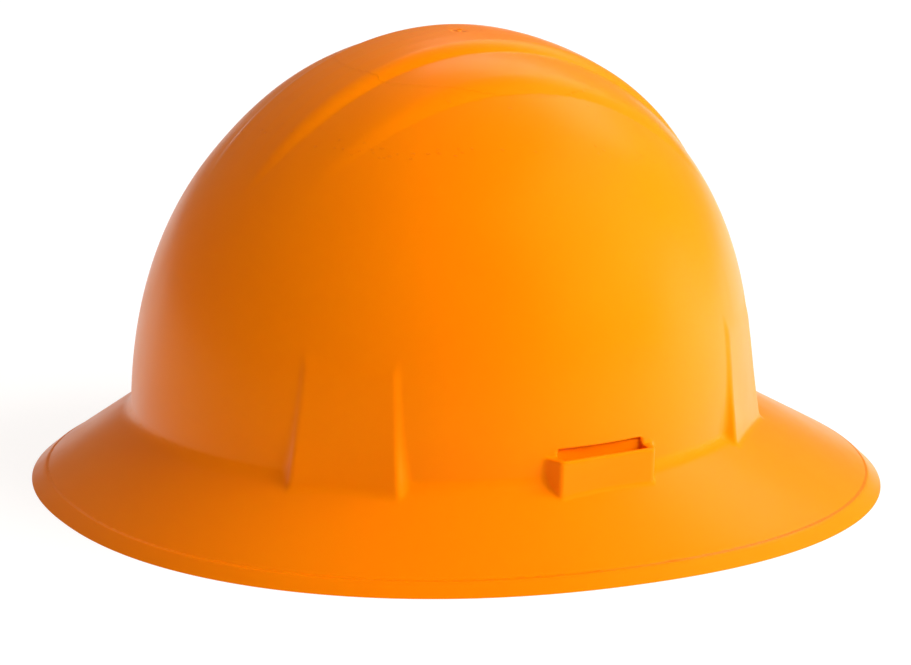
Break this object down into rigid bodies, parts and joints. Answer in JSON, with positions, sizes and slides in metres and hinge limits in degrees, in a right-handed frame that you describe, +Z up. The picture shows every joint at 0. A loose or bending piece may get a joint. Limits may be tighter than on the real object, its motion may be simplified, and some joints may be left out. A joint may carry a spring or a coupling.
{
  "type": "full brim hard hat",
  "caption": "Full brim hard hat with a ribbed crown, side accessory slots and a strap suspension with a swinging ratchet headband.",
  "frame": {"origin": "centre of the brim in plan, on the surface that its lower edge rests on", "axes": "+Z up, -Y towards the front of the hat, +X towards the wearer's left"},
  "size_m": [0.2738, 0.318, 0.1682],
  "materials": {
    "shell_plastic": "gloss moulded polyethylene",
    "key_plastic": "satin moulded",
    "band_plastic": "satin moulded",
    "webbing": "woven polyester",
    "sweat_pad": "foam backed cloth",
    "ratchet_plastic": "fine texture",
    "knob_plastic": "satin",
    "gear_plastic": "natural acetal",
    "steel": "zinc plated"
  },
  "bodies": {
    "shell": {"shell": "shell_plastic", "front_left_key": "key_plastic", "front_right_key": "key_plastic", "rear_left_key": "key_plastic", "rear_right_key": "key_plastic", "upper_crown_strap": "webbing", "lower_crown_strap": "webbing"},
    "headband": {"headband": "band_plastic", "brow_pad": "sweat_pad", "left_swing_stud": "key_plastic", "right_swing_stud": "key_plastic"},
    "nape": {"ratchet_housing": "ratchet_plastic", "ratchet_cover": "ratchet_plastic", "cover_screws": "steel", "click_spring": "steel", "nape_pad": "sweat_pad"},
    "knob": {"ratchet_knob": "knob_plastic", "drive_gear": "gear_plastic", "knob_screw": "steel"},
    "left_rack": {"left_rack_strap": "band_plastic"},
    "right_rack": {"right_rack_strap": "band_plastic"}
  },
  "joints": [
    {"name": "headband_height", "type": "slide", "parent": "shell", "child": "headband", "axis": [0, 0, 1], "range_m": [-0.003, 0.003]},
    {"name": "nape_swing", "type": "hinge", "parent": "headband", "child": "nape", "pos_m": [0, 0.002, 0.044], "axis": [1, 0, 0], "range_deg": [-11, 9]},
    {"name": "knob_turn", "type": "hinge", "parent": "nape", "child": "knob", "pos_m": [0, 0.002, 0.044], "axis": [0, -0.9744, 0.225], "range_deg": [0, 440]},
    {"name": "left_rack_run", "type": "hinge", "parent": "nape", "child": "left_rack", "pos_m": [0, 0.002, 0.044], "axis": [0, 0.225, 0.9744], "range_deg": [0, 21.6]},
    {"name": "right_rack_run", "type": "hinge", "parent": "nape", "child": "right_rack", "pos_m": [0, 0.002, 0.044], "axis": [0, 0.225, 0.9744], "range_deg": [-21.6, 0]}
  ],
  "couplings": [
    {"joint": "left_rack_run", "follows": "knob_turn", "ratio": 0.0489},
    {"joint": "right_rack_run", "follows": "knob_turn", "ratio": -0.047619}
  ]
}
